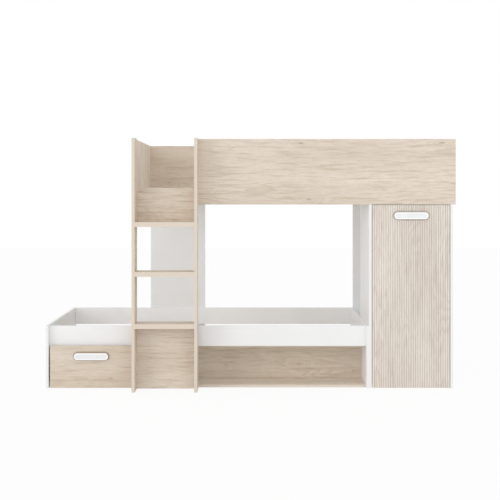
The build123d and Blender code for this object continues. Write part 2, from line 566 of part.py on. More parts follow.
def handle(x, y, z):
    """A pill-shaped pull: a shallow dished head on a smaller foot."""
    face = Plane(origin=(x, y, z), x_dir=X, z_dir=back(Y))
    foot = pill(face, HANDLE_LENGTH - 2 * HANDLE_LIP, HANDLE_HEIGHT - 2 * HANDLE_LIP, HANDLE_FOOT)
    head = pill(face.offset(HANDLE_FOOT), HANDLE_LENGTH, HANDLE_HEIGHT, HANDLE_HEAD)
    head = fillet(head.edges(), HANDLE_ROUND)
    dish_length, dish_height = HANDLE_LENGTH - 2 * HANDLE_RIM, HANDLE_HEIGHT - 2 * HANDLE_RIM
    floor = face.offset(HANDLE_FOOT + HANDLE_HEAD - HANDLE_DISH)
    return foot + head - pill(floor, dish_length, dish_height, 2 * HANDLE_DISH)


def handle_screws(name, x, y, z, thickness):
    for side in (-1, 1):
        start = (x + side * HANDLE_SCREW_SPACING / 2, y + thickness, z)
        screw(name, start, back(Y), thickness + HANDLE_FOOT - SCREW_HEAD)


def door_face(left, right):
    """Plan of the ribbed door: crowned ribs with a narrow groove between each two."""
    pitch = (right - left) / RIB_COUNT
    crown, edge = FRONT, FRONT + RIB_RISE
    plan = Rectangle(right - left, DOOR_THICKNESS - RIB_RISE, align=(Align.MIN, Align.MIN))
    plan = Pos(left, edge) * plan
    for i in range(RIB_COUNT):
        a = left + i * pitch + RIB_GROOVE / 2
        b = left + (i + 1) * pitch - RIB_GROOVE / 2
        arc = ThreePointArc((a, edge), ((a + b) / 2, crown), (b, edge))
        plan += make_face(Curve() + [arc, Line((b, edge), (a, edge))])
    for i in range(1, RIB_COUNT):
        x = left + i * pitch
        plan -= Pos(x, edge) * Rectangle(RIB_GROOVE, 2 * RIB_GROOVE_DEPTH)
    return plan


def door():
    left, right = CLOSET_LEFT + DOOR_GAP, CLOSET_RIGHT - DOOR_GAP
    panel = extrude(Plane.XY.offset(DOOR_GAP) * door_face(left, right), amount=DOOR_TOP - DOOR_GAP)
    axis_x = right - HINGE_INSET
    half = ARM_HEIGHT / 2 + LUG_GAP + LUG
    pocket_left = axis_x - CUP_BACK - CUP_WEB
    levels = spread(DOOR_GAP + HINGE_END, DOOR_TOP - HINGE_END, HINGE_COUNT)
    for level in levels:
        low, high = level - half - POCKET_PLAY, level + half + POCKET_PLAY
        panel -= box(pocket_left, CLOSET_RIGHT, POCKET_FRONT, CLOSET_FRONT, low, high)
    add("door_panel", panel)
    x, z = (left + right) / 2, DOOR_TOP - HANDLE_DROP
    add("door_handle", handle(x, FRONT, z))
    handle_screws("door_screws", x, FRONT, z, DOOR_THICKNESS)
    for level in levels:
        hinge(axis_x, level, pocket_left)


def hinge(x, level, pocket_left):
    """One hinge: cup and pin in the door, arm and plate on the wardrobe's right side."""
    low, high = level - ARM_HEIGHT / 2, level + ARM_HEIGHT / 2
    cup_low, cup_high = low - LUG_GAP - LUG, high + LUG_GAP + LUG
    y, cup_rear = HINGE_AXIS_Y, FRONT + DOOR_THICKNESS
    cup = box(pocket_left, pocket_left + CUP_WEB, POCKET_FRONT, cup_rear, cup_low, cup_high)
    for lug_low in (cup_low, high + LUG_GAP):
        cup += box(pocket_left, x + EYE_RADIUS, POCKET_FRONT, cup_rear, lug_low, lug_low + LUG)
    pin = rod((x, y, cup_low), Z, HINGE_PIN_RADIUS, cup_high - cup_low)
    bore = rod((x, y, cup_low), Z, HINGE_PIN_RADIUS + HINGE_PLAY, cup_high - cup_low)
    add("hinge_cups", cup - bore)
    add("hinge_pins", pin)
    half_sheet = ARM_SHEET / 2
    bend = y + ARM_REACH
    arm = rod((x, y, low), Z, EYE_RADIUS, ARM_HEIGHT)
    arm += box(x - half_sheet, x + half_sheet, y, bend, low, high)
    arm += box(x - half_sheet, CLOSET_RIGHT, bend - ARM_SHEET, bend, low, high)
    plate_low, plate_high = level - PLATE_HEIGHT / 2, level + PLATE_HEIGHT / 2
    plate_left = CLOSET_RIGHT - ARM_SHEET
    arm += box(plate_left, CLOSET_RIGHT, bend - ARM_SHEET, bend + PLATE_LENGTH, plate_low, plate_high)
    add("hinge_arms", arm - bore)
    for side in (-1, 1):
        point = (plate_left, bend + PLATE_LENGTH / 2, level + side * PLATE_HEIGHT / 3)
        screw("wood_screws", point, X, ARM_SHEET + BOARD - SCREW_TIP_GAP)
    point = (pocket_left + CUP_WEB, y, level)
    screw("door_screws", point, back(X), CUP_WEB + BOARD)


def channel(wall, inwards, depth, height, y0, y1, level):
    """A C channel along Y: its web stands on the wall and its flanges point inwards."""
    start = (wall, y0, level - height / 2)
    length = (Y, y1 - y0)
    piece = span(start, (inwards, RUNNER_SHEET), length, (Z, height))
    piece += span(start, (inwards, depth), length, (Z, RUNNER_SHEET))
    return piece + span(shift(start, (Z, height)), (inwards, depth), length, (back(Z), RUNNER_SHEET))


def drawer_front():
    left, right = BAY_LEFT + DRAWER_GAP_LEFT, BAY_RIGHT - DRAWER_GAP_RIGHT
    add("drawer_front", board(left, right, FRONT, DRAWER_BOX_FRONT, DRAWER_LIFT, DRAWER_TOP))
    x, z = (left + right) / 2, DRAWER_TOP - HANDLE_DROP
    add("drawer_handle", handle(x, FRONT, z))
    handle_screws("drawer_screws", x, FRONT, z, BOARD)


def drawer_box():
    left, right = BAY_LEFT + RUNNER_WIDTH, BAY_RIGHT - RUNNER_WIDTH
    inner_left, inner_right = left + DRAWER_SIDE, right - DRAWER_SIDE
    front, rear = DRAWER_BOX_FRONT, DRAWER_BOX_REAR
    low, high = DRAWER_BOX_BOTTOM, DRAWER_BOX_TOP
    floor = low + BOTTOM_LIFT
    tongue = GROOVE - PANEL_PLAY
    back_front = rear - DRAWER_SIDE
    groove = box(inner_left - GROOVE, inner_right + GROOVE, front, back_front + GROOVE,
                 floor - PANEL_PLAY, floor + DRAWER_BOTTOM + PANEL_PLAY)
    add("drawer_side_left", board(left, inner_left, front, rear, low, high) - groove)
    add("drawer_side_right", board(inner_right, right, front, rear, low, high) - groove)
    add("drawer_back", board(inner_left, inner_right, back_front, rear, low, high) - groove)
    add("drawer_bottom", box(inner_left - tongue, inner_right + tongue, front, back_front + tongue,
                             floor, floor + DRAWER_BOTTOM))
    for z in spread(low + FIX_EDGE, high - FIX_EDGE, 2):
        cam_joint((left + DRAWER_SIDE / 2, front, z), back(Y), X, DRAWER_SIDE, "drawer_")
        cam_joint((right - DRAWER_SIDE / 2, front, z), back(Y), back(X), DRAWER_SIDE, "drawer_")
        screw("drawer_screws", (left, rear - DRAWER_SIDE / 2, z), X, 3 * DRAWER_SIDE)
        screw("drawer_screws", (right, rear - DRAWER_SIDE / 2, z), back(X), 3 * DRAWER_SIDE)


def drawer_runners():
    y0 = FRONT + RUNNER_SETBACK
    y1 = y0 + RUNNER_LENGTH
    level = (DRAWER_BOX_BOTTOM + DRAWER_BOX_TOP) / 2
    depth = RUNNER_WIDTH - RUNNER_SHEET - RUNNER_PLAY
    height = RUNNER_HEIGHT - 2 * (RUNNER_SHEET + RUNNER_PLAY)
    for wall, inwards in ((BAY_LEFT, X), (BAY_RIGHT, back(X))):
        side = wall + inwards[0] * RUNNER_WIDTH
        add("runner_channels", channel(wall, inwards, depth, RUNNER_HEIGHT, y0, y1, level))
        add("runner_slides", channel(side, back(inwards), depth, height, y0, y1, level))
        for y in spread(y0 + 2 * FIX_EDGE, y1 - 2 * FIX_EDGE, RUNNER_SCREWS):
            point = (wall + inwards[0] * RUNNER_SHEET, y, level)
            screw("wood_screws", point, back(inwards), RUNNER_SHEET + BOARD - SCREW_TIP_GAP)
            point = (side - inwards[0] * RUNNER_SHEET, y, level)
            screw("drawer_screws", point, inwards, RUNNER_SHEET + DRAWER_SIDE - SCREW_TIP_GAP)


def drill():
    """Cut each fixing's hole in the boards and fittings that it passes, and store the fixing."""
    targets = list(nodes)
    holes = [(hole, hole.bounding_box()) for _, _, hole in fixings]
    for name in targets:
        for i, piece in enumerate(nodes[name]):
            near = piece.bounding_box()
            cuts = [hole for hole, size in holes if touches(size, near)]
            if cuts:
                nodes[name][i] = piece - cuts
    for name, piece, _ in fixings:
        add(name, piece)


def touches(a, b):
    gaps = [max(low - high for low, high in ((p, q), (r, s)))
            for p, q, r, s in zip(a.min, b.max, b.min, a.max)]
    return max(gaps) < 0


def export():
    os.makedirs("parts", exist_ok=True)
    for name, pieces in nodes.items():
        solids = [solid for piece in pieces for solid in piece.solids()]
        shape = solids[0] if len(solids) == 1 else Compound(solids)
        export_step(shape, os.path.join("parts", name + ".step"))


lower_bed()
lower_base()
dividers()
niche()
ladder()
upper_bed()
upper_base()
guard_screws()
rear_supports()
wardrobe()
wardrobe_inside()
door()
drawer_front()
drawer_box()
drawer_runners()
drill()
export()
print(len(nodes), "sub-parts and", sum(len(pieces) for pieces in nodes.values()), "pieces")
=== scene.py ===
import math
from collections import namedtuple

import bpy
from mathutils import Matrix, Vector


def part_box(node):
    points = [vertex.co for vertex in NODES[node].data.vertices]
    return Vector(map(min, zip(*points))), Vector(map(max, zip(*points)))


# Looks of the bunk bed: a procedural material on every CAD node, a plain white studio and the
# camera of the photograph. Lengths are in metres and places are in the CAD model's frame.

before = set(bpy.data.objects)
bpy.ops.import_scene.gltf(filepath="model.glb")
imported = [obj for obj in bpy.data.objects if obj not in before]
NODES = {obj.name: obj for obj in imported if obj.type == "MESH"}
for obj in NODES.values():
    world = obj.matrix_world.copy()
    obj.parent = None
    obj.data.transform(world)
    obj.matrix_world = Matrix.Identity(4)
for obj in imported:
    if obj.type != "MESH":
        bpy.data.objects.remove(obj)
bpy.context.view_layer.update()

# Camera
IMAGE = 500                       # width and height of the picture
FOCAL_PIXELS = 1017.2
HORIZON_ROW = 191.95              # row of the picture at the camera's height
CAMERA = (-0.0048, -6.5367, 1.1796)
SENSOR = 36.0

# Studio
WHITE = (1.0, 1.0, 1.0, 1.0)
FLOOR_COLOUR = (0.92, 0.92, 0.92, 1.0)
FLOOR_ROUGHNESS = 0.9
FLOOR_SPECULAR = 0.1
FLOOR_SIZE = 30.0
SHADOW_SHARE = 0.1                # part of the floor's look that takes light and shadow
AMBIENT = 0.78                    # strength of the even light from all round
# Soft sun lamps: strength, spread in degrees, and turn from straight down about X and then Z
LAMPS = {
    "key": (0.33, 60.0, (66.0, 0.0, 8.0)),
    "left_fill": (0.66, 40.0, (76.0, 0.0, -50.0)),
    "right_fill": (0.22, 40.0, (76.0, 0.0, 50.0)),
}

# Colours, as sRGB values from 0 to 255
OAK = {
    "dark": (186, 167, 147),
    "body": (220, 207, 191),
    "light": (232, 221, 207),
    "pore": (152, 133, 112),
    "knot": (128, 108, 88),
    "edge": (219, 207, 192),
}
# A lighter copy of the oak tones: painted light on boards that the lamps leave too dark
OAK_PAINTED_LIGHTER = {
    "dark": (194, 176, 157),
    "body": (227, 215, 200),
    "light": (238, 228, 215),
    "pore": (160, 141, 120),
    "knot": (128, 108, 88),
    "edge": (219, 207, 192),
}
DOOR_OAK = {
    "dark": (196, 184, 171),
    "body": (226, 217, 207),
    "light": (237, 230, 221),
    "pore": (168, 155, 141),
    # the groove tone is shade painted between the door's ribs
    "groove": (170, 158, 146),
}
SLAT_LIGHT = (236, 229, 216)
SLAT_DARK = (214, 203, 186)
DOWEL_LIGHT = (214, 186, 142)
DOWEL_DARK = (184, 152, 108)
WHITE_BOARD = (239, 239, 239)
# a lighter white, painted light on boards that the lamps leave too dark
WHITE_BOARD_PAINTED_LIGHT = (247, 247, 248)
WHITE_EDGE = (236, 236, 236)
WHITE_SEAM = (222, 221, 218)
# The pull's white on its rim, and a darker white in its dish and on its flanks as painted shade,
# mottled by a cloud pattern
PULL_RIM = (250, 251, 251)
PULL_DISH_SHADE = (236, 237, 238)
PULL_DISH_SHADE_WORN = (232, 233, 235)
ZINC = (196, 198, 202)
NICKEL = (205, 200, 192)
CHROME = (226, 228, 230)
PAINT = (205, 190, 170)

# Patterns of noise: scale along the grain, across it and through the board (or along X, Y and Z
# where there is no grain), levels of detail and how rough they are
Pattern = namedtuple("Pattern", "scale detail roughness", defaults=(2.0, 0.5))
GROWTH = Pattern((1.1, 6.0, 6.0), 2.5, 0.45)
GROWTH_FRAY = Pattern((9.0, 60.0, 60.0))
GROWTH_PATCHES = Pattern((1.7, 5.0, 5.0))
BANDS = Pattern((0.9, 7.0, 7.0), 3.0, 0.55)
STREAKS = Pattern((5.0, 75.0, 75.0), 4.0, 0.6)
FIBRES = Pattern((22.0, 420.0, 420.0), 3.0, 0.6)
PORES = Pattern((45.0, 900.0, 900.0), 1.0)
EDGE_GRAIN = Pattern((14.0, 160.0, 160.0), 3.0)
SLAT_GROWTH = Pattern((1.4, 16.0, 16.0))
SLAT_FIBRES = Pattern((18.0, 380.0, 380.0), 3.0, 0.6)
PEARL = Pattern((900.0, 900.0, 900.0), 1.0)
MARKS = Pattern((3.0, 3.0, 3.0), 4.0, 0.6)
WIPES = Pattern((14.0, 14.0, 2.0), 3.0)
PLATING = Pattern((60.0, 60.0, 60.0), 4.0, 0.6)
PULL_SKIN = Pattern((1400.0, 1400.0, 1400.0))
PULL_CLOUD = Pattern((40.0, 40.0, 40.0), 3.0)
PAINT_PEEL = Pattern((700.0, 700.0, 700.0))
PAINT_CLOUD = Pattern((9.0, 9.0, 9.0), 3.0)
OAK_STEPS = (7.31, 3.77, 1.93)    # how far one seed's pattern is from the next one's
SLAT_STEPS = (4.1, 2.9, 6.3)
WHITE_STEPS = (2.3, 5.1, 3.7)

# Spans: two values of a pattern, and what they are turned into (0 and 1 where nothing is said)
PATCH_SPAN = (0.42, 0.66, 0.12, 1.0)
BAND_SPAN = (0.30, 0.72)
STREAK_SPAN = (0.47, 0.78, 0.0, 0.8)
FIBRE_SPAN = (0.42, 0.80, 0.0, 0.55)
PORE_SPAN = (0.66, 0.76)
EDGE_GRAIN_SPAN = (0.35, 0.75, 0.0, 0.4)
SLAT_FIBRE_SPAN = (0.5, 0.85, 0.0, 0.4)
MARKS_SPAN = (0.35, 0.75)
PLATING_SPAN = (0.35, 0.7)
CLOUD_SPAN = (0.3, 0.7)
OAK_ROUGHNESS = (0.2, 0.8, 0.50, 0.66)
SLAT_ROUGHNESS = (0.2, 0.8, 0.55, 0.75)
WHITE_ROUGHNESS = (0.3, 0.7, 0.36, 0.50)
PULL_ROUGHNESS = (0.3, 0.7, 0.30, 0.40)

# Oak foil: the contours of the growth field, and how far each pattern goes towards its tone
OAK_LINES = (17.0, 0.35, 0.93)    # contours, and where between two of them a line starts and is darkest
FRAY_BEND = 0.05
KNOT_BEND = 0.2
LINE_SHARE = 0.40
PORE_SHARE = 0.5
KNOT_TINT = 0.12
KNOT_SHARE = 0.55
# the next value is for the shade painted into the grooves between the door's ribs
GROOVE_SHADE_SHARE = 0.4
# how far the roundings between an oak board's faces and edges go towards the light tone
OAK_ROUNDING_PALING = 0.45
LINE_HEIGHT = -0.5                # heights in parts of the relief
FIBRE_HEIGHT = -1.0
PORE_HEIGHT = -0.8
OAK_RELIEF = 0.00012
KNOT_SLIMNESS = 3.2               # a knot's length over its width
KNOT_WIDE_FALL = -1.2
KNOT_HEART_FALL = -40.0
WOOD_SPECULAR = 0.3

# Slats and dowels
SLAT_LINES = (14.0, 0.2, 0.9)
SLAT_LINE_SHARE = 0.6
SLAT_RELIEF = 0.00015
SLAT_RELIEF_STRENGTH = 0.8

# White board, metal, paint and pulls
MARKS_DEPTH = 3                   # how much darker the handling marks are
WHITE_WEAR = 0.25
WHITE_SPECULAR = 0.4
WHITE_RELIEF = 0.00004
BRUSH_STRETCH = 0.02              # a drawn line's width over its length
BRUSH_RELIEF = 0.00002
SMOOTHER_PLATING = 0.08           # how far the roughness goes below and above its mean
ROUGHER_PLATING = 0.1
PAINT_DEPTH = 6                   # how much darker the clouds in the paint are
PAINT_RELIEF = 0.00006
PAINT_ROUGHNESS = 0.45
SMOOTHER_PAINT = 0.05
ROUGHER_PAINT = 0.08
PULL_RELIEF = 0.00002
PLAIN_SPECULAR = 0.5

# How flat a point lies, from 0 on a board's edge to 1 on its face
FLAT_EDGE = 0.15
FLAT_MIDDLE = 0.6
FLAT_FACE = 0.97
FACE_SPAN = (0.55, 0.8)
FRONT_SPAN = (0.5, 0.9)

# Door and pulls, with the shade painted in the door's grooves and on the fronts around the pulls
RIB_COUNT = 34                    # upright ribs on the door
RIB_SPAN = (0.25, 0.95)
# the painted shade of the pull's dish starts where its rim ends
RIM_DEPTH = 0.0004                # the pull's bright rim ends this far behind its face
PULL_SHADE = 0.75
PULL_SHADE_WIDTH = 0.012
PULL_SHADE_LIFT = 0.002           # the shade is this much higher than the pull

AXES = {"x": 0, "y": 1, "z": 2}

# Metals: colour, mean roughness, axis of the drawn lines, their scale, and the plating's mottle
METALS = {
    "zinc": (ZINC, 0.36, "x", 1500.0, 0.2),
    "runner_steel": (ZINC, 0.40, "y", 1500.0, 0.2),
    "nickel": (NICKEL, 0.28, "z", 1500.0, 0.2),
    "chrome": (CHROME, 0.14, "x", 900.0, 0.06),
}

# Oak boards: material, node, grain, thickness, seed of the pattern, and what differs from the
# plain board. A knot has its place along and across the grain and its length. shade is a shade
# painted over the whole board, towards the dark tone.
OAK_BOARDS = (
    ("oak_front_guard", "upper_front_guard", "x", "y", 1,
     {"shade": 0.06, "knots": ((1.15, 1.475, 0.08), (0.30, 1.472, 0.09), (0.35, 1.135, 0.07))}),
    ("oak_rear_guard", "upper_rear_guard", "x", "y", 2,
     {"shade": 0.14, "knots": ((-0.565, 1.245, 0.08),)}),
    ("oak_entry", "entry_board", "x", "y", 3, {"shade": 0.14}),
    ("oak_infill", "ladder_infill", "x", "y", 4, {"knots": ((-0.60, 0.185, 0.05),)}),
    ("oak_drawer", "drawer_front", "x", "y", 5,
     {"shade": 0.2, "pull": "drawer_handle", "knots": ((-0.84, 0.06, 0.08),)}),
    ("oak_niche_back", "niche_back", "x", "y", 6,
     {"shade": 0.15, "knots": ((-0.155, 0.094, 0.07), (0.308, 0.102, 0.06), (0.645, 0.055, 0.05))}),
    # the niche floor and the upper bed's left end get the lighter oak as painted light
    ("oak_niche_floor", "niche_floor", "x", "z", 7, {"tones": OAK_PAINTED_LIGHTER}),
    ("oak_upright_left", "ladder_upright_left", "z", "x", 8, {}),
    ("oak_upright_right", "ladder_upright_right", "z", "x", 9, {}),
    ("oak_end_left", "upper_end_left", "z", "x", 10,
     {"tones": OAK_PAINTED_LIGHTER, "knots": ((1.36, -0.20, 0.10), (1.24, 0.12, 0.08))}),
    ("oak_end_right", "upper_end_right", "z", "x", 11, {}),
    ("oak_tread_lower", "tread_lower", "x", "z", 12, {}),
    ("oak_tread_middle", "tread_middle", "x", "z", 13, {}),
    ("oak_tread_upper", "tread_upper", "x", "z", 14, {}),
    ("oak_door", "door_panel", "z", "y", 16,
     {"tones": DOOR_OAK, "ribbed": True, "pull": "door_handle", "knots": ((0.55, 0.963, 0.45),)}),
)

# White boards by the axis of their thickness, and the ones that the photograph shows lighter,
# which get a lighter white as painted light
WHITE_BOARDS = {
    "x": ("lower_end_left", "lower_end_right", "wardrobe_side_left", "wardrobe_side_right",
          "drawer_divider", "niche_divider", "drawer_side_left", "drawer_side_right"),
    "y": ("lower_front_rail", "lower_rear_rail", "rear_support_left", "rear_support_right",
          "upper_front_rail", "wardrobe_back", "drawer_back"),
    "z": ("wardrobe_top", "wardrobe_floor", "wardrobe_shelf", "drawer_bottom"),
}
PAINTED_LIGHT_BOARDS = ("lower_rear_rail", "lower_end_right")


def linear(colour):
    """An sRGB colour of 0 to 255 as the linear RGBA that shader sockets take."""
    parts = []
    for value in colour:
        share = value / 255
        parts.append(share / 12.92 if share <= 0.04045 else ((share + 0.055) / 1.055) ** 2.4)
    return (*parts, 1.0)


def dimmed(colour, amount):
    return tuple(value - amount for value in colour)


def offset_of(seed, steps):
    return tuple(seed * step for step in steps)


class Nodes:
    """A node tree, with one short method for each kind of node that is used."""

    def __init__(self, tree):
        self.tree = tree

    def find(self, kind):
        return next(node for node in self.tree.nodes if node.type == kind)

    def node(self, kind, **settings):
        made = self.tree.nodes.new(kind)
        for key, value in settings.items():
            setattr(made, key, value)
        return made

    def put(self, value, socket):
        if isinstance(value, bpy.types.NodeSocket):
            self.tree.links.new(value, socket)
        else:
            socket.default_value = value

    def math(self, operation, a, b=0.0):
        made = self.node("ShaderNodeMath", operation=operation)
        self.put(a, made.inputs[0])
        self.put(b, made.inputs[1])
        return made.outputs[0]

    def times(self, a, b):
        return self.math("MULTIPLY", a, b)

    def total(self, values):
        result = values[0]
        for value in values[1:]:
            result = self.math("ADD", result, value)
        return result

    def split(self, vector):
        made = self.node("ShaderNodeSeparateXYZ")
        self.put(vector, made.inputs[0])
        return made.outputs

    def vector(self, x, y, z):
        made = self.node("ShaderNodeCombineXYZ")
        for value, socket in zip((x, y, z), made.inputs):
            self.put(value, socket)
        return made.outputs[0]

    def noise(self, place, pattern, offset=(0.0, 0.0, 0.0)):
        scaled = self.node("ShaderNodeVectorMath", operation="MULTIPLY_ADD")
        for value, socket in zip((place, pattern.scale, offset), scaled.inputs):
            self.put(value, socket)
        made = self.node("ShaderNodeTexNoise")
        self.put(scaled.outputs[0], made.inputs["Vector"])
        self.put(1.0, made.inputs["Scale"])
        self.put(pattern.detail, made.inputs["Detail"])
        self.put(pattern.roughness, made.inputs["Roughness"])
        return made.outputs["Fac"]

    def span(self, value, low, high, at_low=0.0, at_high=1.0, smooth=True):
        """at_low up to the value low, at_high from the value high on, and a slope between them."""
        slope = "SMOOTHSTEP" if smooth else "LINEAR"
        made = self.node("ShaderNodeMapRange", interpolation_type=slope)
        self.put(value, made.inputs["Value"])
        self.put(low, made.inputs["From Min"])
        self.put(high, made.inputs["From Max"])
        self.put(at_low, made.inputs["To Min"])
        self.put(at_high, made.inputs["To Max"])
        return made.outputs["Result"]

    def mix(self, share, a, b):
        made = self.node("ShaderNodeMix", data_type="RGBA")
        for value, socket in zip((share, a, b), (made.inputs[0], made.inputs[6], made.inputs[7])):
            self.put(value, socket)
        return made.outputs[2]

    def bump(self, height, distance, strength=1.0):
        made = self.node("ShaderNodeBump")
        self.put(distance, made.inputs["Distance"])
        self.put(strength, made.inputs["Strength"])
        self.put(height, made.inputs["Height"])
        return made.outputs["Normal"]

    def seen_ray(self):
        """1 on rays of the camera and on the ones that a gloss or a glass sends on, 0 on others."""
        path = self.node("ShaderNodeLightPath").outputs
        seen = self.math("MAXIMUM", path["Is Camera Ray"], path["Is Glossy Ray"])
        return self.math("MAXIMUM", seen, path["Is Transmission Ray"])


class Shader(Nodes):
    """A material, its principled shader and the coordinates that its patterns start from."""

    def __init__(self, name):
        self.material = bpy.data.materials.new(name)
        self.material.use_nodes = True
        super().__init__(self.material.node_tree)
        self.bsdf = self.find("BSDF_PRINCIPLED")
        coordinates = self.node("ShaderNodeTexCoord").outputs
        self.place = coordinates["Object"]
        self.normal = coordinates["Normal"]

    def finish(self, colour, roughness, relief, specular=PLAIN_SPECULAR):
        self.put(colour, self.bsdf.inputs["Base Color"])
        self.put(roughness, self.bsdf.inputs["Roughness"])
        self.put(relief, self.bsdf.inputs["Normal"])
        self.put(specular, self.bsdf.inputs["Specular IOR Level"])
        return self.material


def grain_space(shader, along, thickness):
    """Object coordinates ordered along the grain, across it and through the board."""
    position = shader.split(shader.place)
    across = next(axis for axis in "xyz" if axis not in (along, thickness))
    return shader.vector(*(position[AXES[axis]] for axis in (along, across, thickness)))


def flatness(shader, thickness):
    """1 on the board's two faces, 0 on its edges, and between them on the roundings."""
    return shader.math("ABSOLUTE", shader.split(shader.normal)[AXES[thickness]])


def rounding(shader, flat):
    """1 in the middle of the roundings, where a board wears, and 0 on its faces and edges."""
    return shader.times(shader.span(flat, FLAT_EDGE, FLAT_MIDDLE),
                        shader.span(flat, FLAT_MIDDLE, FLAT_FACE, 1.0, 0.0))


def front_share(shader):
    """1 on a board's front face, and 0 on its back and its edges."""
    return shader.span(shader.times(shader.split(shader.normal)[1], -1.0), *FRONT_SPAN)


def growth_lines(shader, field, contours, start, darkest):
    """Dark lines along the contours of a field, which deepen slowly and end sharply."""
    turns = shader.math("FRACT", shader.times(field, contours))
    return shader.times(shader.span(turns, start, darkest), shader.span(turns, darkest, 1.0, 1.0, 0.0))


def knot_fields(shader, place, knots):
    """How near each point is to the knots: a field that bends the grain, and the knots' hearts."""
    parts = shader.split(place)
    fields = []
    for along, across, length in knots:
        away = (shader.times(shader.math("SUBTRACT", parts[0], along), 1 / length),
                shader.times(shader.math("SUBTRACT", parts[1], across), KNOT_SLIMNESS / length))
        squared = shader.total([shader.times(part, part) for part in away])
        fields.append([shader.math("EXPONENT", shader.times(squared, fall))
                       for fall in (KNOT_WIDE_FALL, KNOT_HEART_FALL)])
    return [shader.total(parts) for parts in zip(*fields)]


def rib_groove_shade(shader):
    """Painted shade between the door's ribs: 1 in their grooves, falling to 0 on their crowns."""
    low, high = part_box("door_panel")
    pitch = (high[0] - low[0]) / RIB_COUNT
    across = shader.split(shader.place)[0]
    turn = shader.math("FRACT", shader.times(shader.math("SUBTRACT", across, low[0]), 1 / pitch))
    off_crown = shader.times(shader.math("ABSOLUTE", shader.math("SUBTRACT", turn, 0.5)), 2.0)
    return shader.span(off_crown, *RIB_SPAN)


def painted_pull_shade(shader, pull):
    """The soft shade painted on a front around its pull, darkest at the pull's outline."""
    low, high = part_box(pull)
    middle = [(a + b) / 2 for a, b in zip(low, high)]
    radius = (high[2] - low[2]) / 2
    straight = (high[0] - low[0]) / 2 - radius
    place = shader.split(shader.place)
    aside = shader.math("ABSOLUTE", shader.math("SUBTRACT", place[0], middle[0]))
    aside = shader.math("MAXIMUM", shader.math("SUBTRACT", aside, straight), 0.0)
    above = shader.math("SUBTRACT", place[2], middle[2] + PULL_SHADE_LIFT)
    away = shader.math("SQRT", shader.total([shader.times(aside, aside), shader.times(above, above)]))
    return shader.span(away, radius, radius + PULL_SHADE_WIDTH, PULL_SHADE, 0.0)


def oak(name, along, thickness, seed, knots=(), tones=OAK, shade=0.0, ribbed=False, pull=None):
    """Pale oak foil: growth lines, streaks, pores and knots, with a plainer band on the edges.

    knots holds the place of each knot along and across the grain, and its length. shade is how far
    the whole board goes towards the dark tone, as painted shade, and pull names the pull that is
    fixed to it, around which a shade is painted. ribbed paints shade into the grooves between ribs.
    """
    shader = Shader(name)
    place = grain_space(shader, along, thickness)
    offset = offset_of(seed, OAK_STEPS)
    tone = {part: linear(colour) for part, colour in tones.items()}

    bends = [shader.noise(place, GROWTH, offset)]
    if knots:
        wide, heart = knot_fields(shader, place, knots)
        bends.append(shader.times(wide, KNOT_BEND))
    bends.append(shader.times(shader.noise(place, GROWTH_FRAY, offset), FRAY_BEND))
    line = growth_lines(shader, shader.total(bends), *OAK_LINES)
    patches = shader.span(shader.noise(place, GROWTH_PATCHES, offset), *PATCH_SPAN)
    line = shader.times(line, patches)
    bands = shader.span(shader.noise(place, BANDS, offset), *BAND_SPAN)
    streaks = shader.noise(place, STREAKS, offset)
    fibres = shader.noise(place, FIBRES, offset)
    pores = shader.span(shader.noise(place, PORES, offset), *PORE_SPAN)

    colour = shader.mix(bands, tone["body"], tone["light"])
    colour = shader.mix(shader.span(streaks, *STREAK_SPAN), colour, tone["dark"])
    colour = shader.mix(shader.times(line, LINE_SHARE), colour, tone["dark"])
    colour = shader.mix(shader.span(fibres, *FIBRE_SPAN), colour, tone["dark"])
    colour = shader.mix(shader.times(pores, PORE_SHARE), colour, tone["pore"])
    if knots:
        colour = shader.mix(shader.times(wide, KNOT_TINT), colour, tone["dark"])
    if knots and "knot" in tone:
        colour = shader.mix(shader.times(heart, KNOT_SHARE), colour, tone["knot"])
    # painted shade over the whole board
    if shade:
        colour = shader.mix(shade, colour, tone["dark"])
    # painted shade on the front around its pull
    if pull:
        shaded = shader.times(painted_pull_shade(shader, pull), front_share(shader))
        colour = shader.mix(shaded, colour, tone["pore"])
    # painted shade in the grooves between the door's ribs, on its front only
    if ribbed:
        groove = shader.times(rib_groove_shade(shader), front_share(shader))
        colour = shader.mix(shader.times(groove, GROOVE_SHADE_SHARE), colour, tone["groove"])
    else:
        flat = flatness(shader, thickness)
        edge_grain = shader.span(shader.noise(place, EDGE_GRAIN, offset), *EDGE_GRAIN_SPAN)
        edge = shader.mix(edge_grain, tone["edge"], tone["body"])
        colour = shader.mix(shader.span(flat, *FACE_SPAN), edge, colour)
        colour = shader.mix(shader.times(rounding(shader, flat), OAK_ROUNDING_PALING), colour, tone["light"])

    relief = shader.total([shader.times(line, LINE_HEIGHT), shader.times(fibres, FIBRE_HEIGHT),
                           shader.times(pores, PORE_HEIGHT)])
    return shader.finish(colour, shader.span(streaks, *OAK_ROUGHNESS, smooth=False),
                         shader.bump(relief, OAK_RELIEF), WOOD_SPECULAR)


def coated_white(name, thickness, seed, base):
    """White coated board: a fine pearl texture, faint handling marks and a plain edge band."""
    shader = Shader(name)
    offset = offset_of(seed, WHITE_STEPS)
    pearl = shader.noise(shader.place, PEARL, offset)
    marks = shader.span(shader.noise(shader.place, MARKS, offset), *MARKS_SPAN)
    wipes = shader.noise(shader.place, WIPES, offset)
    flat = flatness(shader, thickness)
    colour = shader.mix(marks, linear(base), linear(dimmed(base, MARKS_DEPTH)))
    colour = shader.mix(shader.span(flat, *FACE_SPAN), linear(WHITE_EDGE), colour)
    colour = shader.mix(shader.times(rounding(shader, flat), WHITE_WEAR), colour, linear(WHITE_SEAM))
    return shader.finish(colour, shader.span(wipes, *WHITE_ROUGHNESS, smooth=False),
                         shader.bump(pearl, WHITE_RELIEF), WHITE_SPECULAR)


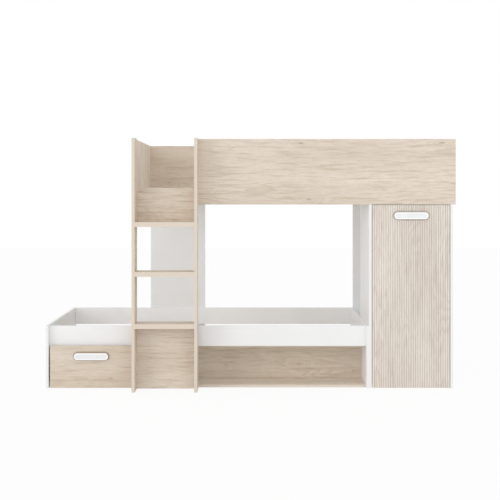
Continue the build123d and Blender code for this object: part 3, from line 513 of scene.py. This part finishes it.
def softwood(name, along, thickness, seed, light, dark):
    """Bare planed softwood with growth lines, for slats, ledgers and dowels."""
    shader = Shader(name)
    place = grain_space(shader, along, thickness)
    offset = offset_of(seed, SLAT_STEPS)
    line = growth_lines(shader, shader.noise(place, SLAT_GROWTH, offset), *SLAT_LINES)
    fibres = shader.noise(place, SLAT_FIBRES, offset)
    colour = shader.mix(shader.times(line, SLAT_LINE_SHARE), linear(light), linear(dark))
    colour = shader.mix(shader.span(fibres, *SLAT_FIBRE_SPAN), colour, linear(dark))
    return shader.finish(colour, shader.span(fibres, *SLAT_ROUGHNESS, smooth=False),
                         shader.bump(fibres, SLAT_RELIEF, SLAT_RELIEF_STRENGTH), WOOD_SPECULAR)


def plated(name):
    """Plated steel: fine drawn lines, cloudy plating and a varied gloss."""
    colour, rough, brushed, scale, mottle = METALS[name]
    shader = Shader(name)
    stretch = tuple(scale * (BRUSH_STRETCH if axis == brushed else 1.0) for axis in "xyz")
    lines = shader.noise(shader.place, Pattern(stretch))
    cloud = shader.span(shader.noise(shader.place, PLATING), *PLATING_SPAN)
    darker = tuple(value * (1 - mottle) for value in colour)
    shader.put(1.0, shader.bsdf.inputs["Metallic"])
    roughness = shader.span(lines, *CLOUD_SPAN, rough - SMOOTHER_PLATING, rough + ROUGHER_PLATING,
                            smooth=False)
    return shader.finish(shader.mix(cloud, linear(colour), linear(darker)), roughness,
                         shader.bump(lines, BRUSH_RELIEF))


def moulded_white(name):
    """Satin white pull: a bright rim, painted shade in its dish, and a faint moulded texture."""
    shader = Shader(name)
    skin = shader.noise(shader.place, PULL_SKIN)
    cloud = shader.noise(shader.place, PULL_CLOUD)
    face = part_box("door_handle")[0][1]
    depth = shader.math("SUBTRACT", shader.split(shader.place)[1], face)
    # the dish and flanks behind the rim are painted darker, as shade
    dish = shader.span(depth, RIM_DEPTH, 2 * RIM_DEPTH)
    dish_shade_colour = shader.mix(shader.span(cloud, *CLOUD_SPAN), linear(PULL_DISH_SHADE), linear(PULL_DISH_SHADE_WORN))
    return shader.finish(shader.mix(dish, linear(PULL_RIM), dish_shade_colour),
                         shader.span(cloud, *PULL_ROUGHNESS, smooth=False),
                         shader.bump(skin, PULL_RELIEF))


def painted(name):
    """Powder-coated steel with its fine orange peel."""
    shader = Shader(name)
    peel = shader.noise(shader.place, PAINT_PEEL)
    cloud = shader.span(shader.noise(shader.place, PAINT_CLOUD), *CLOUD_SPAN)
    roughness = shader.span(peel, *CLOUD_SPAN, PAINT_ROUGHNESS - SMOOTHER_PAINT,
                            PAINT_ROUGHNESS + ROUGHER_PAINT, smooth=False)
    return shader.finish(shader.mix(cloud, linear(PAINT), linear(dimmed(PAINT, PAINT_DEPTH))),
                         roughness, shader.bump(peel, PAINT_RELIEF))


def dress(material, *names):
    for name in names:
        mesh = NODES[name].data
        mesh.materials.clear()
        mesh.materials.append(material)


def dress_boards():
    for name, node, along, thickness, seed, extras in OAK_BOARDS:
        dress(oak(name, along, thickness, seed, **extras), node)
    for thickness, names in WHITE_BOARDS.items():
        for seed, name in enumerate(names):
            # the lighter white is painted light
            base = WHITE_BOARD_PAINTED_LIGHT if name in PAINTED_LIGHT_BOARDS else WHITE_BOARD
            dress(coated_white("white_" + name, thickness, seed, base), name)


def dress_slats():
    dress(softwood("slat_wood", "y", "z", 1, SLAT_LIGHT, SLAT_DARK), "lower_slats", "upper_slats")
    dress(softwood("ledger_wood", "x", "y", 2, SLAT_LIGHT, SLAT_DARK),
          "lower_rear_ledger", "upper_slat_ledgers")
    dress(softwood("dowel_wood", "x", "z", 3, DOWEL_LIGHT, DOWEL_DARK), "dowels")


def dress_fittings():
    dress(plated("zinc"), "cam_bolts", "cam_locks", "drawer_cam_bolts", "drawer_cam_locks",
          "wood_screws", "door_screws", "drawer_screws", "angle_brackets", "shelf_pins",
          "connector_bolts", "connector_sleeves")
    dress(plated("runner_steel"), "runner_channels", "runner_slides")
    dress(plated("nickel"), "hinge_arms", "hinge_cups", "hinge_pins")
    dress(plated("chrome"), "hanging_rail", "rail_sockets")
    dress(painted("angle_paint"), "lower_slat_angle")
    dress(moulded_white("handle_white"), "door_handle", "drawer_handle")


def studio_floor():
    """A white floor that keeps a faint part of the bed's shadow."""
    half = FLOOR_SIZE / 2
    corners = [(-half, -half, 0), (half, -half, 0), (half, half, 0), (-half, half, 0)]
    mesh = bpy.data.meshes.new("studio_floor")
    mesh.from_pydata(corners, [], [(0, 1, 2, 3)])
    floor = bpy.data.objects.new("studio_floor", mesh)
    bpy.context.scene.collection.objects.link(floor)
    shader = Shader("studio_floor")
    shader.put(FLOOR_COLOUR, shader.bsdf.inputs["Base Color"])
    shader.put(FLOOR_ROUGHNESS, shader.bsdf.inputs["Roughness"])
    shader.put(FLOOR_SPECULAR, shader.bsdf.inputs["Specular IOR Level"])
    glow = shader.node("ShaderNodeEmission")
    shader.put(WHITE, glow.inputs["Color"])
    shader.put(1.0, glow.inputs["Strength"])
    blend = shader.node("ShaderNodeMixShader")
    shader.put(shader.times(shader.seen_ray(), 1 - SHADOW_SHARE), blend.inputs[0])
    shader.put(shader.bsdf.outputs[0], blend.inputs[1])
    shader.put(glow.outputs[0], blend.inputs[2])
    shader.put(blend.outputs[0], shader.find("OUTPUT_MATERIAL").inputs["Surface"])
    mesh.materials.append(shader.material)


def studio_world():
    """White to the camera, and an even light from all round on the bed."""
    world = bpy.data.worlds.new("studio")
    world.use_nodes = True
    bpy.context.scene.world = world
    nodes = Nodes(world.node_tree)
    background = nodes.find("BACKGROUND")
    nodes.put(WHITE, background.inputs["Color"])
    strength = nodes.span(nodes.seen_ray(), 0.0, 1.0, AMBIENT, 1.0, smooth=False)
    nodes.put(strength, background.inputs["Strength"])


def studio_lamps():
    for name, (strength, spread, turn) in LAMPS.items():
        light = bpy.data.lights.new(name, "SUN")
        light.energy = strength
        light.angle = math.radians(spread)
        lamp = bpy.data.objects.new(name, light)
        bpy.context.scene.collection.objects.link(lamp)
        lamp.rotation_euler = [math.radians(angle) for angle in turn]


def photo_camera():
    lens = bpy.data.cameras.new("photo_camera")
    lens.sensor_width = SENSOR
    lens.lens = FOCAL_PIXELS * SENSOR / IMAGE
    lens.shift_y = (HORIZON_ROW - IMAGE / 2) / IMAGE
    camera = bpy.data.objects.new("photo_camera", lens)
    bpy.context.scene.collection.objects.link(camera)
    camera.location = CAMERA
    camera.rotation_euler = (math.pi / 2, 0.0, 0.0)
    bpy.context.scene.camera = camera


dress_boards()
dress_slats()
dress_fittings()
studio_floor()
studio_world()
studio_lamps()
photo_camera()
bpy.context.scene.view_settings.view_transform = "Standard"
